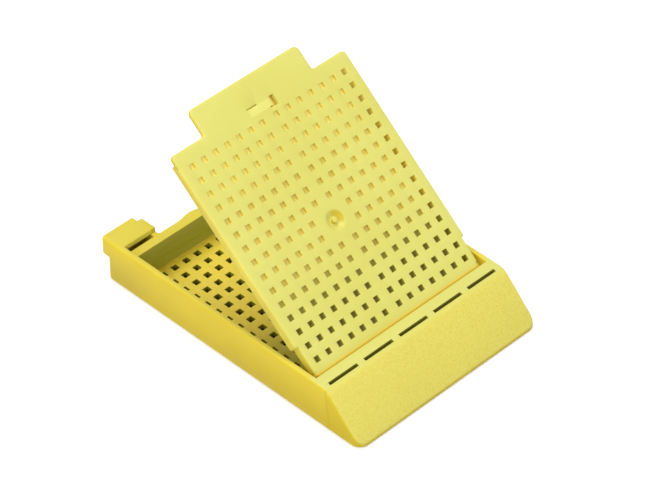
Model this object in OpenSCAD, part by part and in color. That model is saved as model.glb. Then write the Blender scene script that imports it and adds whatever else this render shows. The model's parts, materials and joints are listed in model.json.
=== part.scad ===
// Biology tissue cassette: a perforated tray with a sloping writing face, and its loose perforated lid.
// X runs across, Y from the writing face (-) to the finger lips (+), Z up. The origin is the middle of
// the underside. The lid stands open, turned about the rounded lip along its front edge.

/* [Tray] */
// Width over the side walls
base_width = 28.6; // [24:0.1:36]
// Length from the foot of the writing face to the back of the finger lips
base_length = 41.4; // [34:0.1:52]
// Height of the side walls, the front ledge and the ears
base_height = 5.7; // [5:0.1:8]
// Thickness of the side walls
side_wall = 0.7; // [0.5:0.05:1.2]
// Thickness of the wall behind the compartment
back_wall = 1.2; // [0.9:0.05:1.6]
// Thickness of the perforated floor
floor_thickness = 0.75; // [0.5:0.05:1.2]
// Radius of the upright corners at the writing end
front_corner_r = 1.2; // [0.5:0.1:2]
// Radius of the upright corners at the ears
back_corner_r = 0.6; // [0.3:0.1:1]

/* [Writing end] */
// Thickness of the writing face and the ledge over the hollow underside
skin = 0.55; // [0.45:0.05:0.9]
// Angle of the writing face from level
slope_angle = 45; // [38:1:55]
// Height of the rounded bead along the foot of the writing face
foot_height = 0.9; // [0.6:0.1:1.4]
// Thickness of the hollow writing end's side and back walls
end_wall = 0.7; // [0.5:0.05:1]
// Depth of the flat ledge above the writing face
ledge_depth = 1.95; // [1.6:0.05:2.6]
// Number of narrow slots through the ledge
slot_count = 5; // [3:1:5]
// Length of each ledge slot
slot_length = 4.4; // [3:0.1:4.8]
// Width of each ledge slot
slot_width = 0.42; // [0.3:0.02:0.6]
// Distance from one ledge slot to the next
slot_pitch = 5.5; // [5:0.1:5.6]
// Distance from the top of the writing face to the middle of the ledge slots
slot_set_back = 0.47; // [0.4:0.01:0.9]

/* [Ears] */
// Width of each ear
ear_width = 5.5; // [4.5:0.1:6.5]
// Depth of an ear's top, without the finger lip
ear_depth = 2.25; // [1.8:0.05:3]
// Width of the slot in front of an ear
ear_slot = 0.6; // [0.4:0.05:0.8]
// Reach of the finger lip behind an ear
lip_reach = 1; // [0.6:0.1:1.4]
// Height of the finger lip
lip_height = 2.3; // [1.8:0.1:3]
// Step in from an ear's inner side to the end of its finger lip
lip_step = 0.7; // [0.3:0.1:1.5]
// Reach of the two upright ribs behind the back wall
rib_reach = 0.45; // [0.2:0.05:0.6]
// Distance between the two upright ribs
rib_spacing = 7.8; // [6:0.1:10]

/* [Lid] */
// Thickness of the lid's plate
lid_plate = 0.55; // [0.4:0.05:0.8]
// Height of the lid's side rails, with the plate
rail_height = 1.15; // [0.9:0.05:1.3]
// Thickness of the lid's side rails
rail_width = 0.8; // [0.6:0.05:1]
// Thickness of the lip along the lid's front edge
lip_width = 0.8; // [0.6:0.05:1]
// Depth of the lip's rounded axis below the lid's top
axis_depth = 1.235; // [1.1:0.005:1.4]
// Length of the narrower front part of the lid
tongue_length = 3.9; // [3:0.1:5]
// Step in from the lid's edge to the narrower front part
tongue_step = 0.4; // [0.2:0.05:0.6]
// Reach of the finger tab behind the lid
tab_length = 3.3; // [2.5:0.1:4]
// Length of the window at the root of the tab, across the lid
window_length = 3.9; // [3:0.1:5]
// Width of the window at the root of the tab
window_width = 1.2; // [0.8:0.1:1.5]
// Radius of the round dimple in the middle of the lid
dimple_r = 1.1; // [0.8:0.1:1.3]
// Depth of the round dimple
dimple_depth = 0.2; // [0.1:0.05:0.3]
// Angle the lid stands open at
open_angle = 39.9; // [0:0.1:80]

/* [Perforations] */
// Distance from one hole to the next
hole_pitch = 1.78; // [1.6:0.01:2.2]
// Distance between the two middle columns
middle_column_gap = 2.2; // [1.8:0.05:2.6]
// Distance between the two middle rows
middle_row_gap = 1.91; // [1.7:0.01:2.4]
// Side of each square hole in the lid
lid_hole = 0.68; // [0.4:0.02:0.9]
// Side of each square hole in the floor
floor_hole = 0.8; // [0.5:0.02:1]

/* [Clearances] */
// Gap between the lid's side and the wall beside it
lid_gap = 0.15; // [0.1:0.05:0.4]
// Gap between the closed lid and the back wall's rim under it
seat_gap = 0.05; // [0.03:0.01:0.2]
// Gap between the tab and each ear
tab_gap = 0.4; // [0.2:0.05:0.8]
// Gap between the lid's rounded lip and its seat
lip_gap = 0.1; // [0.05:0.01:0.2]
// Room in front of the closed lid, for its front edge to swing in
swing_room = 1.15; // [1.05:0.05:1.4]
// Room behind the closed lid, and in front of its shoulders
edge_room = 0.25; // [0.15:0.05:0.4]

/* [Hidden] */
$fn = 48;
cut = 1;

// Lines across the tray, from the writing face to the back
front = -base_length / 2;
foot_r = foot_height / 2;
slope_run = (base_height - foot_height) / tan(slope_angle);
slope_top = front + foot_r + slope_run;
ledge_back = slope_top + ledge_depth;
kerb_width = 0.3;
kerb_drop = 0.06;
axis_y = ledge_back + swing_room + lip_width / 2;
seat_back = axis_y + lip_width / 2 + lip_gap + kerb_width;
back = base_length / 2;
ear_back = back - lip_reach;
ear_front = ear_back - ear_depth;
wall_back = ear_front - ear_slot;
rim_front = wall_back - back_wall;
low_wall_set_back = 0.35;
low_wall_top = 2.7;

// Widths and heights
inner_width = base_width - 2 * side_wall;
narrow_width = inner_width - 2 * tongue_step;
ear_inner = base_width / 2 - ear_width;
rim_top = base_height - lid_plate - seat_gap;
axis_z = base_height - axis_depth;
lip_r = lip_width / 2;
seat_floor = axis_z - lip_r - lip_gap;
kerb_top = axis_z - kerb_drop;
ear_top_skin = 0.7;

// The lid, flat: its front edge at y = 0 and its top at z = 0
lid_width = inner_width - 2 * lid_gap;
tongue_width = narrow_width - 2 * lid_gap;
lid_front_closed = axis_y - lip_r;
lid_length = wall_back - edge_room - lid_front_closed;
lid_corner_r = 1;
nub_r = 0.3;
nub_drop = 0.05;
tab_width = 2 * (ear_inner - tab_gap);
tab_corner_r = 0.7;
rail_end = rim_front - lid_gap - lid_front_closed;
shoulder_front = lid_front_closed + tongue_length - edge_room;
catch_width = window_length - 0.4;
catch_depth = 1.9;
catch_thickness = 0.5;

// Where the holes lie, counted out from the middle of what they fill
column_margin = 1.5;
floor_row_margin = 0.9;
lid_row_margin = 1.5;
lid_rows_forward = 0.2;
columns = hole_places(lid_width, column_margin, middle_column_gap, true);
floor_front = seat_back;
floor_back = rim_front + low_wall_set_back;
floor_middle = (floor_front + floor_back) / 2;
floor_rows = hole_places(floor_back - floor_front, floor_row_margin, middle_row_gap, false);
lid_middle = lid_length / 2 - lid_rows_forward;
lid_rows = hole_places(lid_length, lid_row_margin, middle_row_gap, false);
lid_gate = lid_middle + middle_of(lid_rows);

// Places of a line of holes that fills a span, with a wider gap at its middle
function hole_places(span, margin, gap, even) =
    let (extra = gap - hole_pitch,
         half = floor(((span - gap) / 2 - margin) / hole_pitch),
         any = floor((span - 2 * margin - extra) / hole_pitch) + 1,
         count = even ? 2 * half + 2 : any,
         before = floor(count / 2),
         first = -((count - 1) * hole_pitch + extra) / 2)
    [for (i = [0 : count - 1]) first + i * hole_pitch + (i >= before ? extra : 0)];

// Middle of a line's wider gap
function middle_of(places) =
    let (before = floor(len(places) / 2))
    (places[before - 1] + places[before]) / 2;

// A box between two opposite corners
module block(low, high) {
    translate(low) cube(high - low);
}

// A flat rectangle between two corners, with one radius on all four
module rounded(low, high, r) {
    translate(low + [r, 0]) square(high - low - [2 * r, 0]);
    translate(low + [0, r]) square(high - low - [0, 2 * r]);
    for (x = [low.x + r, high.x - r], y = [low.y + r, high.y - r])
        translate([x, y]) circle(r);
}

// A flat shape drawn with Y across and Z up, run along X about the middle
module run_across(width) {
    rotate([90, 0, 90]) translate([0, 0, -width / 2]) linear_extrude(width) children();
}

// Square holes on a grid
module holes(xs, ys, side, low, high, middle) {
    for (x = xs, y = ys)
        if (abs(x) > middle.x || abs(y - middle.y) > middle.z)
            translate([x - side / 2, y - side / 2, low]) cube([side, side, high - low]);
}

// Side view of the tray's body, from the top of its foot bead to the ears
module side_outline() {
    polygon([
        [front + foot_r, 0], [front + foot_r, foot_height], [slope_top, base_height],
        [ear_back, base_height], [ear_back, 0]
    ]);
}

// Side view of a finger lip, rounded underneath
module lip_outline() {
    lip_low = base_height - lip_height;
    round_r = min(lip_reach, lip_height / 2) * 0.8;
    translate([back - round_r, lip_low + round_r]) circle(round_r);
    translate([ear_front, lip_low]) square([back - round_r - ear_front, lip_height]);
    translate([ear_front, lip_low + round_r]) square([back - ear_front, lip_height - round_r]);
}

// Outline of the tray seen from above
module plan_outline() {
    half = base_width / 2;
    rib_r = 1.6;
    difference() {
        union() {
            rounded([-half, front], [half, 0], front_corner_r);
            rounded([-half, front / 2], [half, back], back_corner_r);
        }
        translate([-ear_inner, wall_back]) square([2 * ear_inner, back - wall_back + cut]);
    }
    for (side = [-1, 1])
        translate([side * rib_spacing / 2, wall_back - rib_r + rib_reach]) circle(rib_r);
}

// The tray before anything is hollowed out
module solid_tray() {
    intersection() {
        run_across(base_width) side_outline();
        linear_extrude(base_height) plan_outline();
    }
    intersection() {
        run_across(base_width) translate([front + foot_r, foot_r]) circle(foot_r);
        linear_extrude(base_height) plan_outline();
    }
    lip_across = ear_width - lip_step;
    for (side = [-1, 1])
        intersection() {
            translate([side * (base_width - lip_across) / 2, 0, 0]) run_across(lip_across) lip_outline();
            linear_extrude(base_height) plan_outline();
        }
}

// The tissue compartment, with the seat for the lid's lip in front of it
module compartment() {
    half = inner_width / 2;
    narrow = narrow_width / 2;
    top = base_height + cut;
    block([-half, shoulder_front, floor_thickness], [half, rim_front, top]);
    block([-half, shoulder_front, floor_thickness],
          [half, rim_front + low_wall_set_back, low_wall_top]);
    block([-narrow, seat_back, floor_thickness], [narrow, shoulder_front + cut, top]);
    block([-narrow, ledge_back, seat_floor], [narrow, axis_y, top]);
    block([-narrow, axis_y - cut, kerb_top], [narrow, seat_back + cut, top]);
    translate([0, axis_y, axis_z]) rotate([0, 90, 0])
        cylinder(r = lip_r + lip_gap, h = narrow_width, center = true);
}

// The open underside of the writing end
module writing_end_hollow() {
    foot_back = front + foot_height;
    slope_inner = front + foot_r - foot_height / tan(slope_angle) + skin / sin(slope_angle);
    ceiling = base_height - skin;
    seat_ceiling = seat_floor - end_wall;
    run_across(base_width - 2 * end_wall)
        polygon([
            [foot_back, -cut], [foot_back, (foot_back - slope_inner) * tan(slope_angle)],
            [slope_inner + ceiling / tan(slope_angle), ceiling],
            [ledge_back - end_wall, ceiling], [ledge_back - end_wall, seat_ceiling],
            [seat_back - end_wall, seat_ceiling], [seat_back - end_wall, -cut]
        ]);
}

// The narrow slots through the front ledge
module ledge_slots() {
    for (i = [0 : slot_count - 1])
        translate([(i - (slot_count - 1) / 2) * slot_pitch, slot_set_back + slope_top, base_height])
            cube([slot_length, slot_width, 3 * skin], center = true);
}

// The open underside of one ear, and the slot up through the rim in front of the ear
module ear_hollow() {
    outer = -inner_width / 2;
    inner = -ear_inner - side_wall;
    block([outer, wall_back, -cut], [inner, ear_back - side_wall, base_height - ear_top_skin]);
    block([outer, wall_back, -cut], [inner, ear_front, base_height + cut]);
}

module base() {
    half = inner_width / 2;
    color([0.89, 0.79, 0.29])
    difference() {
        solid_tray();
        compartment();
        block([-half, rim_front - cut, rim_top], [half, ear_front, base_height + cut]);
        block([-ear_inner, ear_front - cut, rim_top], [ear_inner, back + cut, base_height + cut]);
        writing_end_hollow();
        ledge_slots();
        ear_hollow();
        mirror([1, 0, 0]) ear_hollow();
        translate([0, floor_middle, 0])
            holes(columns, floor_rows, floor_hole, -cut, floor_thickness + cut, [0, 0, 0]);
    }
}

// Outline of the lid seen from above
module lid_outline() {
    half = lid_width / 2;
    rounded([-half, tongue_length], [half, lid_length], lid_corner_r);
    translate([-half, tongue_length]) square([lid_width, lid_corner_r]);
    translate([-tongue_width / 2, 0]) square([tongue_width, 2 * tongue_length]);
    rounded([-tab_width / 2, lid_length - 2 * tab_corner_r],
            [tab_width / 2, lid_length + tab_length], tab_corner_r);
}

// One rail under the left edge, stepping in beside the narrower front part
module rail() {
    half = lid_width / 2;
    narrow = tongue_width / 2;
    block([-half, tongue_length, -rail_height], [-half + rail_width, rail_end, -lid_plate / 2]);
    block([-narrow, lip_r, -rail_height],
          [-narrow + rail_width, tongue_length + rail_width, -lid_plate / 2]);
}

// The lip under the front edge, rounded along its foot
module lip() {
    run_across(tongue_width) {
        translate([0, -axis_depth]) square([lip_width, axis_depth - lid_plate / 2]);
        translate([lip_r, -axis_depth]) circle(lip_r);
    }
}

// The lid lying flat, its front edge at y = 0 and its top at z = 0
module flat_lid() {
    window_front = lid_length - window_width;
    difference() {
        union() {
            translate([0, 0, -lid_plate]) linear_extrude(lid_plate) lid_outline();
            rail();
            mirror([1, 0, 0]) rail();
            lip();
            block([-catch_width / 2, window_front - catch_thickness, -catch_depth],
                  [catch_width / 2, window_front, -lid_plate / 2]);
        }
        block([-window_length / 2, window_front, -lid_plate - cut],
              [window_length / 2, lid_length, cut]);
        translate([0, lid_gate, -dimple_depth]) cylinder(r = dimple_r, h = dimple_depth + cut);
        translate([0, lid_middle, 0])
            holes(columns, lid_rows, lid_hole, -lid_plate - cut, cut,
                  [hole_pitch, middle_of(lid_rows), hole_pitch]);
    }
    translate([0, lid_gate, -lid_plate / 2]) cylinder(r = nub_r, h = lid_plate / 2 - nub_drop);
}

module lid() {
    color([0.9, 0.86, 0.45])
    translate([0, axis_y, axis_z])
    rotate([open_angle, 0, 0])
    translate([0, -lip_r, axis_depth])
    flat_lid();
}

base();
lid();
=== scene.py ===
# %% [markdown]
# # Tissue cassette
# A tissue cassette is a small plastic box for a piece of tissue: a perforated tray with a sloping face to
# write on, and a perforated lid that hooks in behind the slope. Both are injection mouldings in one yellow
# plastic. This lesson loads the finished construction model, builds a tray and a lid with the small
# roundings a mould leaves, and gives each piece a finish into whose colour light and shade are painted,
# by which way each face looks and where it lies.

# %% Load the construction model
import bpy
import bmesh
import json
import math
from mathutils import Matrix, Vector


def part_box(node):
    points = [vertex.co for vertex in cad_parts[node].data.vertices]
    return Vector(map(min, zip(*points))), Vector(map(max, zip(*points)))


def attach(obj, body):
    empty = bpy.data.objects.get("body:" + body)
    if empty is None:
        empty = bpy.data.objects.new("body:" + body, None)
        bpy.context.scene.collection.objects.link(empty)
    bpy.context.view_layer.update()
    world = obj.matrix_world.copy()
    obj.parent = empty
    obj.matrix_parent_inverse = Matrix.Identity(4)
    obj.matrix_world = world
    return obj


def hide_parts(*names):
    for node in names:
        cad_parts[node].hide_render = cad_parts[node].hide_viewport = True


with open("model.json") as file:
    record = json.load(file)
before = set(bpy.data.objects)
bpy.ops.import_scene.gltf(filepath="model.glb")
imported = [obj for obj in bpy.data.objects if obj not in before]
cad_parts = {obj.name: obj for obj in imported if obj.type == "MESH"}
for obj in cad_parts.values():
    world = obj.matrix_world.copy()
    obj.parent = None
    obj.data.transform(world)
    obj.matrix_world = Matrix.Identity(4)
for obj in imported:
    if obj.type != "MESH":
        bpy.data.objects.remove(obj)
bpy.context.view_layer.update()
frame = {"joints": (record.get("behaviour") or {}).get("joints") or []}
hinge = frame["joints"][0]

# %% [markdown]
# ## Helpers
# Edit-mode tools act on whatever is selected, so one helper clears the selection and another selects
# faces, edges or corners by a rule on their place or direction. Everything is drawn at a thousand times
# its size, one unit to a millimetre, because the tools join points that lie closer than a tenth of a
# unit, and brought down to metres at the end. A face looks along an axis where its normal's part on that
# axis is over SQUARE_ON, and stands beside it where that part is under EDGE_ON. SLACK is how far a place
# may be out, and FLAT_ANGLE, in radians, is a bend too small to count.

# %% Helpers for edit mode
KINDS = {"VERT": "verts", "EDGE": "edges", "FACE": "faces"}
SQUARE_ON, EDGE_ON, SLACK, FLAT_ANGLE = 0.9, 0.1, 0.01, 0.01


def put_down():
    if bpy.context.mode != "OBJECT":
        bpy.ops.object.mode_set(mode="OBJECT")
    bpy.ops.object.select_all(action="DESELECT")


def take_up(piece):
    put_down()
    piece.select_set(True)
    bpy.context.view_layer.objects.active = piece
    bpy.ops.object.mode_set(mode="EDIT")
    bpy.ops.mesh.select_all(action="DESELECT")


def middle(part):
    points = [part.co] if isinstance(part, bmesh.types.BMVert) else [v.co for v in part.verts]
    return sum(points, Vector()) / len(points)


def pick(kind, rule):
    bpy.ops.mesh.select_mode(type=kind)
    bpy.ops.mesh.select_all(action="DESELECT")
    mesh = bpy.context.object.data
    shape = bmesh.from_edit_mesh(mesh)
    shape.normal_update()
    chosen = [part for part in getattr(shape, KINDS[kind]) if rule(part)]
    for part in chosen:
        part.select_set(True)
    shape.select_flush_mode()
    bmesh.update_edit_mesh(mesh)
    return len(chosen)


def sheet(name, low, high):
    put_down()
    centre = ((low[0] + high[0]) / 2, (low[1] + high[1]) / 2, 0)
    bpy.ops.mesh.primitive_plane_add(size=1, location=centre)
    piece = bpy.context.object
    piece.name = name
    piece.scale = (high[0] - low[0], high[1] - low[1], 1)
    bpy.ops.object.transform_apply(location=True, rotation=True, scale=True)
    take_up(piece)
    return piece


def score(axis, places, rule=lambda face: True):
    """Cuts lines square to an axis, across the faces that the rule picks."""
    normal = Vector((axis == "X", axis == "Y", axis == "Z"))
    for place in places:
        pick("FACE", rule)
        bpy.ops.mesh.bisect(plane_co=normal * place, plane_no=normal)


def extrude(offset):
    bpy.ops.mesh.extrude_region_move(TRANSFORM_OT_translate={"value": offset})


def round_off(width, steps, affect="EDGES"):
    bpy.ops.mesh.bevel(offset=width, segments=steps, affect=affect, clamp_overlap=False)


def merge_flats(rule):
    pick("FACE", rule)
    bpy.ops.mesh.dissolve_limited(angle_limit=FLAT_ANGLE)


def drop_faces(rule):
    found = pick("FACE", rule)
    bpy.ops.mesh.delete(type="FACE")
    return found


def near(value, places, reach=0.02):
    return any(abs(value - place) < reach for place in places)


def edge_at(edge, **places):
    """Whether both ends of an edge lie at the places named, such as y=3 and z=0."""
    return all(near(getattr(v.co, axis), [place]) for v in edge.verts for axis, place in places.items())


def tally(piece):
    put_down()
    shape = bmesh.new()
    shape.from_mesh(piece.data)
    open_edges = sum(1 for edge in shape.edges if len(edge.link_faces) != 2)
    count = sum(len(face.verts) - 2 for face in shape.faces)
    volume = shape.calc_volume(signed=True)
    shape.free()
    print(piece.name, "triangles", count, "open edges", open_edges, "volume", round(volume, 1))


# %% [markdown]
# ## Sizes
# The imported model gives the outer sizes, in metres, and the joint gives the line that the lid turns on.
# UNITS turns metres into the drawing's millimetres.
# The rest are the sizes that the mould maker would read off the drawing, in millimetres: where each wall
# stands across the tray, and how high.

# %% Sizes
UNITS = 1000
tray_low, tray_high = [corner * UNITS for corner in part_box("base")]
axis_y, axis_z = hinge["pos_m"][1] * UNITS, hinge["pos_m"][2] * UNITS
half_width, front, back, top = tray_high.x, tray_low.y, tray_high.y, tray_high.z
PITCH, FIRST_COLUMN, FIRST_ROW = 1.78, 1.1, -12.525
COLUMNS_A_SIDE, ROWS, FRONT_ROWS, WIDER_STRIP = 7, 15, 7, 0.13
HOLE_COLUMNS = [side * (FIRST_COLUMN + PITCH * k) for side in (-1, 1) for k in range(COLUMNS_A_SIDE)]
ROW_STEPS = [PITCH * i + (WIDER_STRIP if i >= FRONT_ROWS else 0) + FIRST_ROW for i in range(ROWS)]
OPEN_ANGLE = -hinge["range_deg"][0]
print("tray", [round(v, 2) for v in (half_width, front, back, top)], "axis", axis_y, axis_z)

# %% [markdown]
# ## The lid's outline
# The lid is a flat plate with a wide finger tab behind and a slightly narrower part in front, which goes
# between the thickened ends of the tray's walls. A real designer draws this outline first, rounds its
# corners and only then gives it thickness. The same order works here: a plane is cut, the waste is
# deleted, and the corners are rounded while the outline is still one flat face.

# %% The lid's outline
LID_HALF, NECK_HALF, TAB_HALF = 13.45, 13.05, 8.4
NECK_END, LID_BACK, TAB_BACK = 3.9, 28.95, 32.25


def keep_outline():
    """Makes what is left of the sheet one face, with no corners along its straight sides."""
    bpy.ops.mesh.select_all(action="SELECT")
    bpy.ops.mesh.dissolve_faces()
    bpy.ops.mesh.select_all(action="SELECT")
    bpy.ops.mesh.dissolve_limited(angle_limit=FLAT_ANGLE)


def round_corners(corners):
    """Rounds the outline's corners on both sides, each given as x, y, radius and steps."""
    for x, y, radius, steps in corners:
        found = pick("VERT", lambda v: near(abs(v.co.x), [x]) and near(v.co.y, [y]))
        round_off(radius, steps, "VERTICES")
        print("corner", (x, y), "rounded", found)


lid = sheet("lid_moulding", (-LID_HALF, 0), (LID_HALF, TAB_BACK))
score("X", [-NECK_HALF, NECK_HALF, -TAB_HALF, TAB_HALF])
score("Y", [NECK_END, LID_BACK])
drop_faces(lambda f: (abs(middle(f).x) > TAB_HALF and middle(f).y > LID_BACK)
           or (abs(middle(f).x) > NECK_HALF and middle(f).y < NECK_END))
keep_outline()
round_corners([(LID_HALF, LID_BACK, 0.55, 6), (TAB_HALF, TAB_BACK, 0.7, 6), (TAB_HALF, LID_BACK, 0.35, 6),
               (LID_HALF, NECK_END, 0.3, 6), (NECK_HALF, NECK_END, 0.09, 6), (NECK_HALF, 0, 0.55, 6)])
tally(lid)

# %% [markdown]
# ## The lid's holes
# The mould has rows of small square pins, and the plastic flows round them. Lines are scored across the
# plate along both sides of every row and column, and the squares where they cross are deleted. That keeps
# clean straight strips between the holes, which a cutting tool would leave as long slivers. Four places
# round the middle stay solid, because the plastic enters the mould there. LID_HOLE is half a hole's side.

# %% The lid's holes
GATE, LID_HOLE, LID_MIDDLE = 13.385, 0.34, 14.275
LID_ROWS = [LID_MIDDLE + step for step in ROW_STEPS]


def beside(places, half):
    return sorted([place - half for place in places] + [place + half for place in places])


def in_hole(point, columns, rows, half):
    return near(point.x, columns, half) and near(point.y, rows, half)


RAIL_INNER, RAIL_END, LIP_BACK = HOLE_COLUMNS[-1] + LID_HOLE, 27.93, 0.8
CATCH_FRONT, CATCH_HALF, WINDOW_FRONT, WINDOW_HALF = 27.25, 1.75, 27.75, 1.95
LATCH_FRONT, LATCH_BACK, LATCH_ENDS, AROUND_LATCH = 27.87, 28.83, [-0.45, 0.95, 1.44], 3
take_up(lid)
score("X", beside(HOLE_COLUMNS, LID_HOLE), lambda f: middle(f).y < LID_BACK)
score("Y", [LIP_BACK, RAIL_END] + beside(LID_ROWS, LID_HOLE))
score("Y", [CATCH_FRONT, WINDOW_FRONT, LATCH_FRONT, LATCH_BACK, LID_BACK],
      lambda f: middle(f).y > LID_ROWS[-1] and abs(middle(f).x) < AROUND_LATCH)
score("X", [-WINDOW_HALF, *LATCH_ENDS, WINDOW_HALF], lambda f: WINDOW_FRONT < middle(f).y < LID_BACK)
score("X", [-CATCH_HALF, CATCH_HALF], lambda f: CATCH_FRONT < middle(f).y < WINDOW_FRONT)


def at_opening(spot, reach=LID_HOLE):
    around_gate = abs(spot.x) < PITCH and abs(spot.y - GATE) < PITCH
    return in_hole(spot, HOLE_COLUMNS, LID_ROWS, reach) and not around_gate


print("openings", drop_faces(lambda f: at_opening(middle(f))))
tally(lid)

# %% [markdown]
# ## The lid's thickness, rails, lip and catch
# Extruding the whole sheet down gives the plate. The faces under the sides, the front edge and the catch
# are then pushed on down, the longest last, so that every wall is one closed skin with no faces left
# inside it. Each hole narrows at its foot, where one side turns inwards as a small land for the mould's pin,
# and the rails start right beside the outer holes. The front lip has a round foot, which the lid turns on.

# %% The lid's thickness, rails, lip and catch
LID_PLATE, RAIL_DEPTH, LIP_DEPTH, CATCH_DEPTH = 0.55, 1.15, 1.635, 1.9
HOLE_WAIST, HOLE_FOOT, LIP_ROUND, LIP_TURN = 0.4, -0.06, 0.39, 0.5


def under_rail(spot):
    return abs(spot.x) > RAIL_INNER and LIP_BACK < spot.y < RAIL_END


def under_lip(spot):
    return spot.y < LIP_BACK


def under_catch(spot):
    return abs(spot.x) < CATCH_HALF and CATCH_FRONT < spot.y < WINDOW_FRONT


def push_down(depth, to_depth, where):
    def at_foot(face):
        return face.normal.z < -SQUARE_ON and near(middle(face).z, [-depth]) and where(middle(face))

    found = pick("FACE", at_foot)
    extrude((0, 0, depth - to_depth))
    return found


def face_outwards():
    bpy.ops.mesh.select_all(action="SELECT")
    bpy.ops.mesh.normals_make_consistent(inside=False)


take_up(lid)
bpy.ops.mesh.select_all(action="SELECT")
extrude((0, 0, -HOLE_WAIST))
extrude((0, 0, HOLE_WAIST - LID_PLATE))
face_outwards()
merge_flats(lambda f: abs(f.normal.z) < EDGE_ON and not at_opening(middle(f), LID_HOLE + SLACK))
right_sides = [column + LID_HOLE for column in HOLE_COLUMNS if column + LID_HOLE < RAIL_INNER]
found = pick("VERT", lambda v: near(v.co.z, [-LID_PLATE]) and at_opening(v.co, LID_HOLE + SLACK)
             and near(v.co.x, right_sides, SLACK))
bpy.ops.transform.translate(value=(HOLE_FOOT - LID_HOLE, 0, 0))
print("corners drawn in", found)
found = push_down(LID_PLATE, RAIL_DEPTH, lambda p: under_rail(p) or under_lip(p) or under_catch(p))
print("rails, lip and catch", found)
print("lip and catch", push_down(RAIL_DEPTH, LIP_DEPTH, lambda p: under_lip(p) or under_catch(p)))
print("catch", push_down(LIP_DEPTH, CATCH_DEPTH, under_catch))
found = pick("EDGE", lambda e: edge_at(e, z=-LIP_DEPTH) and all(v.co.y < LIP_BACK + SLACK for v in e.verts)
             and e.link_faces[0].normal.angle(e.link_faces[1].normal) > LIP_TURN)
round_off(LIP_ROUND, 5)
print("lip edges rounded", found)
tally(lid)

# %% [markdown]
# ## The dimple in the middle of the lid
# Plastic enters the mould through a small gate, and the stub it leaves stands in a shallow round dimple,
# so that it stays below the surface. The solid patch round the gate is opened, a circle is laid in it,
# bridged to the patch's edge and filled. Inset, pushed down and drawn in, it becomes a shallow bowl, and a
# second inset raises the stub.

# %% The dimple
PATCH, AROUND_PATCH, RING_R, RING_SIDES, RING_SLACK = 1.8, 2.3, 1.55, 40, 0.03
DIMPLE_R, BOWL_R, STUB_R, DIMPLE_DEPTH, STUB_TOP = 1.2, 0.6, 0.34, 0.42, -0.04
take_up(lid)


def on_patch(face, half):
    spot = middle(face)
    return face.normal.z > SQUARE_ON and abs(spot.x) < half and abs(spot.y - GATE) < half


score("X", [-PATCH, PATCH], lambda f: on_patch(f, AROUND_PATCH))
score("Y", [GATE - PATCH, GATE + PATCH], lambda f: on_patch(f, AROUND_PATCH))
drop_faces(lambda f: on_patch(f, PATCH))
bpy.ops.mesh.primitive_circle_add(vertices=RING_SIDES, radius=RING_R, location=(0, GATE, 0),
                                  fill_type="NOTHING")
pick("EDGE", lambda e: len(e.link_faces) < 2)
bpy.ops.mesh.bridge_edge_loops()


def on_ring(point, radius, height):
    from_middle = math.hypot(point.x, point.y - GATE)
    return near(from_middle, [radius], RING_SLACK) and near(point.z, [height], SLACK)


pick("EDGE", lambda e: len(e.link_faces) == 1 and all(on_ring(v.co, RING_R, 0) for v in e.verts))
bpy.ops.mesh.edge_face_add()
bpy.ops.mesh.inset(thickness=RING_R - DIMPLE_R)
extrude((0, 0, -DIMPLE_DEPTH))
draw_in = BOWL_R / DIMPLE_R
bpy.ops.transform.resize(value=(draw_in, draw_in, 1), center_override=(0, GATE, -DIMPLE_DEPTH))
bpy.ops.mesh.inset(thickness=BOWL_R - STUB_R)
extrude((0, 0, STUB_TOP + DIMPLE_DEPTH))
face_outwards()
for radius, height, width in ((DIMPLE_R, 0, 0.15), (BOWL_R, -DIMPLE_DEPTH, 0.08), (STUB_R, STUB_TOP, 0.12)):
    found = pick("EDGE", lambda e: all(on_ring(v.co, radius, height) for v in e.verts))
    round_off(width, 3)
    print("ring of radius", radius, "rounded", found)
tally(lid)

# %% [markdown]
# ## The latch in the window
# A latch plate stands in a window behind the holes, level with the face round it. Only the gaps beside it
# are pushed down: a wide one at its end, running on along its front, and a thin one at its back. The side
# of the wide one leans outwards.

# %% The latch
END_GAP, BACK_GAP, SIDE_LEAN = 0.5, 0.27, 0.22
take_up(lid)


def in_window(point):
    in_length = WINDOW_FRONT - SLACK < point.y < LID_BACK + SLACK
    return in_length and abs(point.x) < WINDOW_HALF + SLACK


def end_gap(spot):
    along_front = spot.y < LATCH_FRONT and spot.x > LATCH_ENDS[1]
    return in_window(spot) and (spot.x > LATCH_ENDS[2] or along_front)


def back_gap(spot):
    return in_window(spot) and spot.y > LATCH_BACK and spot.x < LATCH_ENDS[0]


for gap, depth in ((end_gap, END_GAP), (back_gap, BACK_GAP)):
    found = pick("FACE", lambda f: f.normal.z > SQUARE_ON and near(middle(f).z, [0]) and gap(middle(f)))
    extrude((0, 0, -depth))
    print("gap faces sunk", found)
found = pick("VERT", lambda v: near(v.co.x, [WINDOW_HALF]) and near(v.co.z, [0]) and in_window(v.co))
bpy.ops.transform.translate(value=(SIDE_LEAN, 0, 0))
print("leaning side", found)
tally(lid)

# %% [markdown]
# ## The lid's rounded edges
# A mould's steel is never quite sharp, so the plastic comes out with rounded edges, and the light catches
# them. The outline's top edge gets the largest rounding. Every other sharp edge, down to the rim of each
# small hole, gets a small one from a Bevel modifier that works on anything sharper than 35 degrees.

# %% The lid's rounded edges
SIDE_ROUND, FRONT_ROUND, FRONT_EDGE, SMALL_ROUND = 0.28, 0.42, 0.4, 0.045
AROUND_DIMPLE, SHARP = 1.5, math.radians(35)


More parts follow.
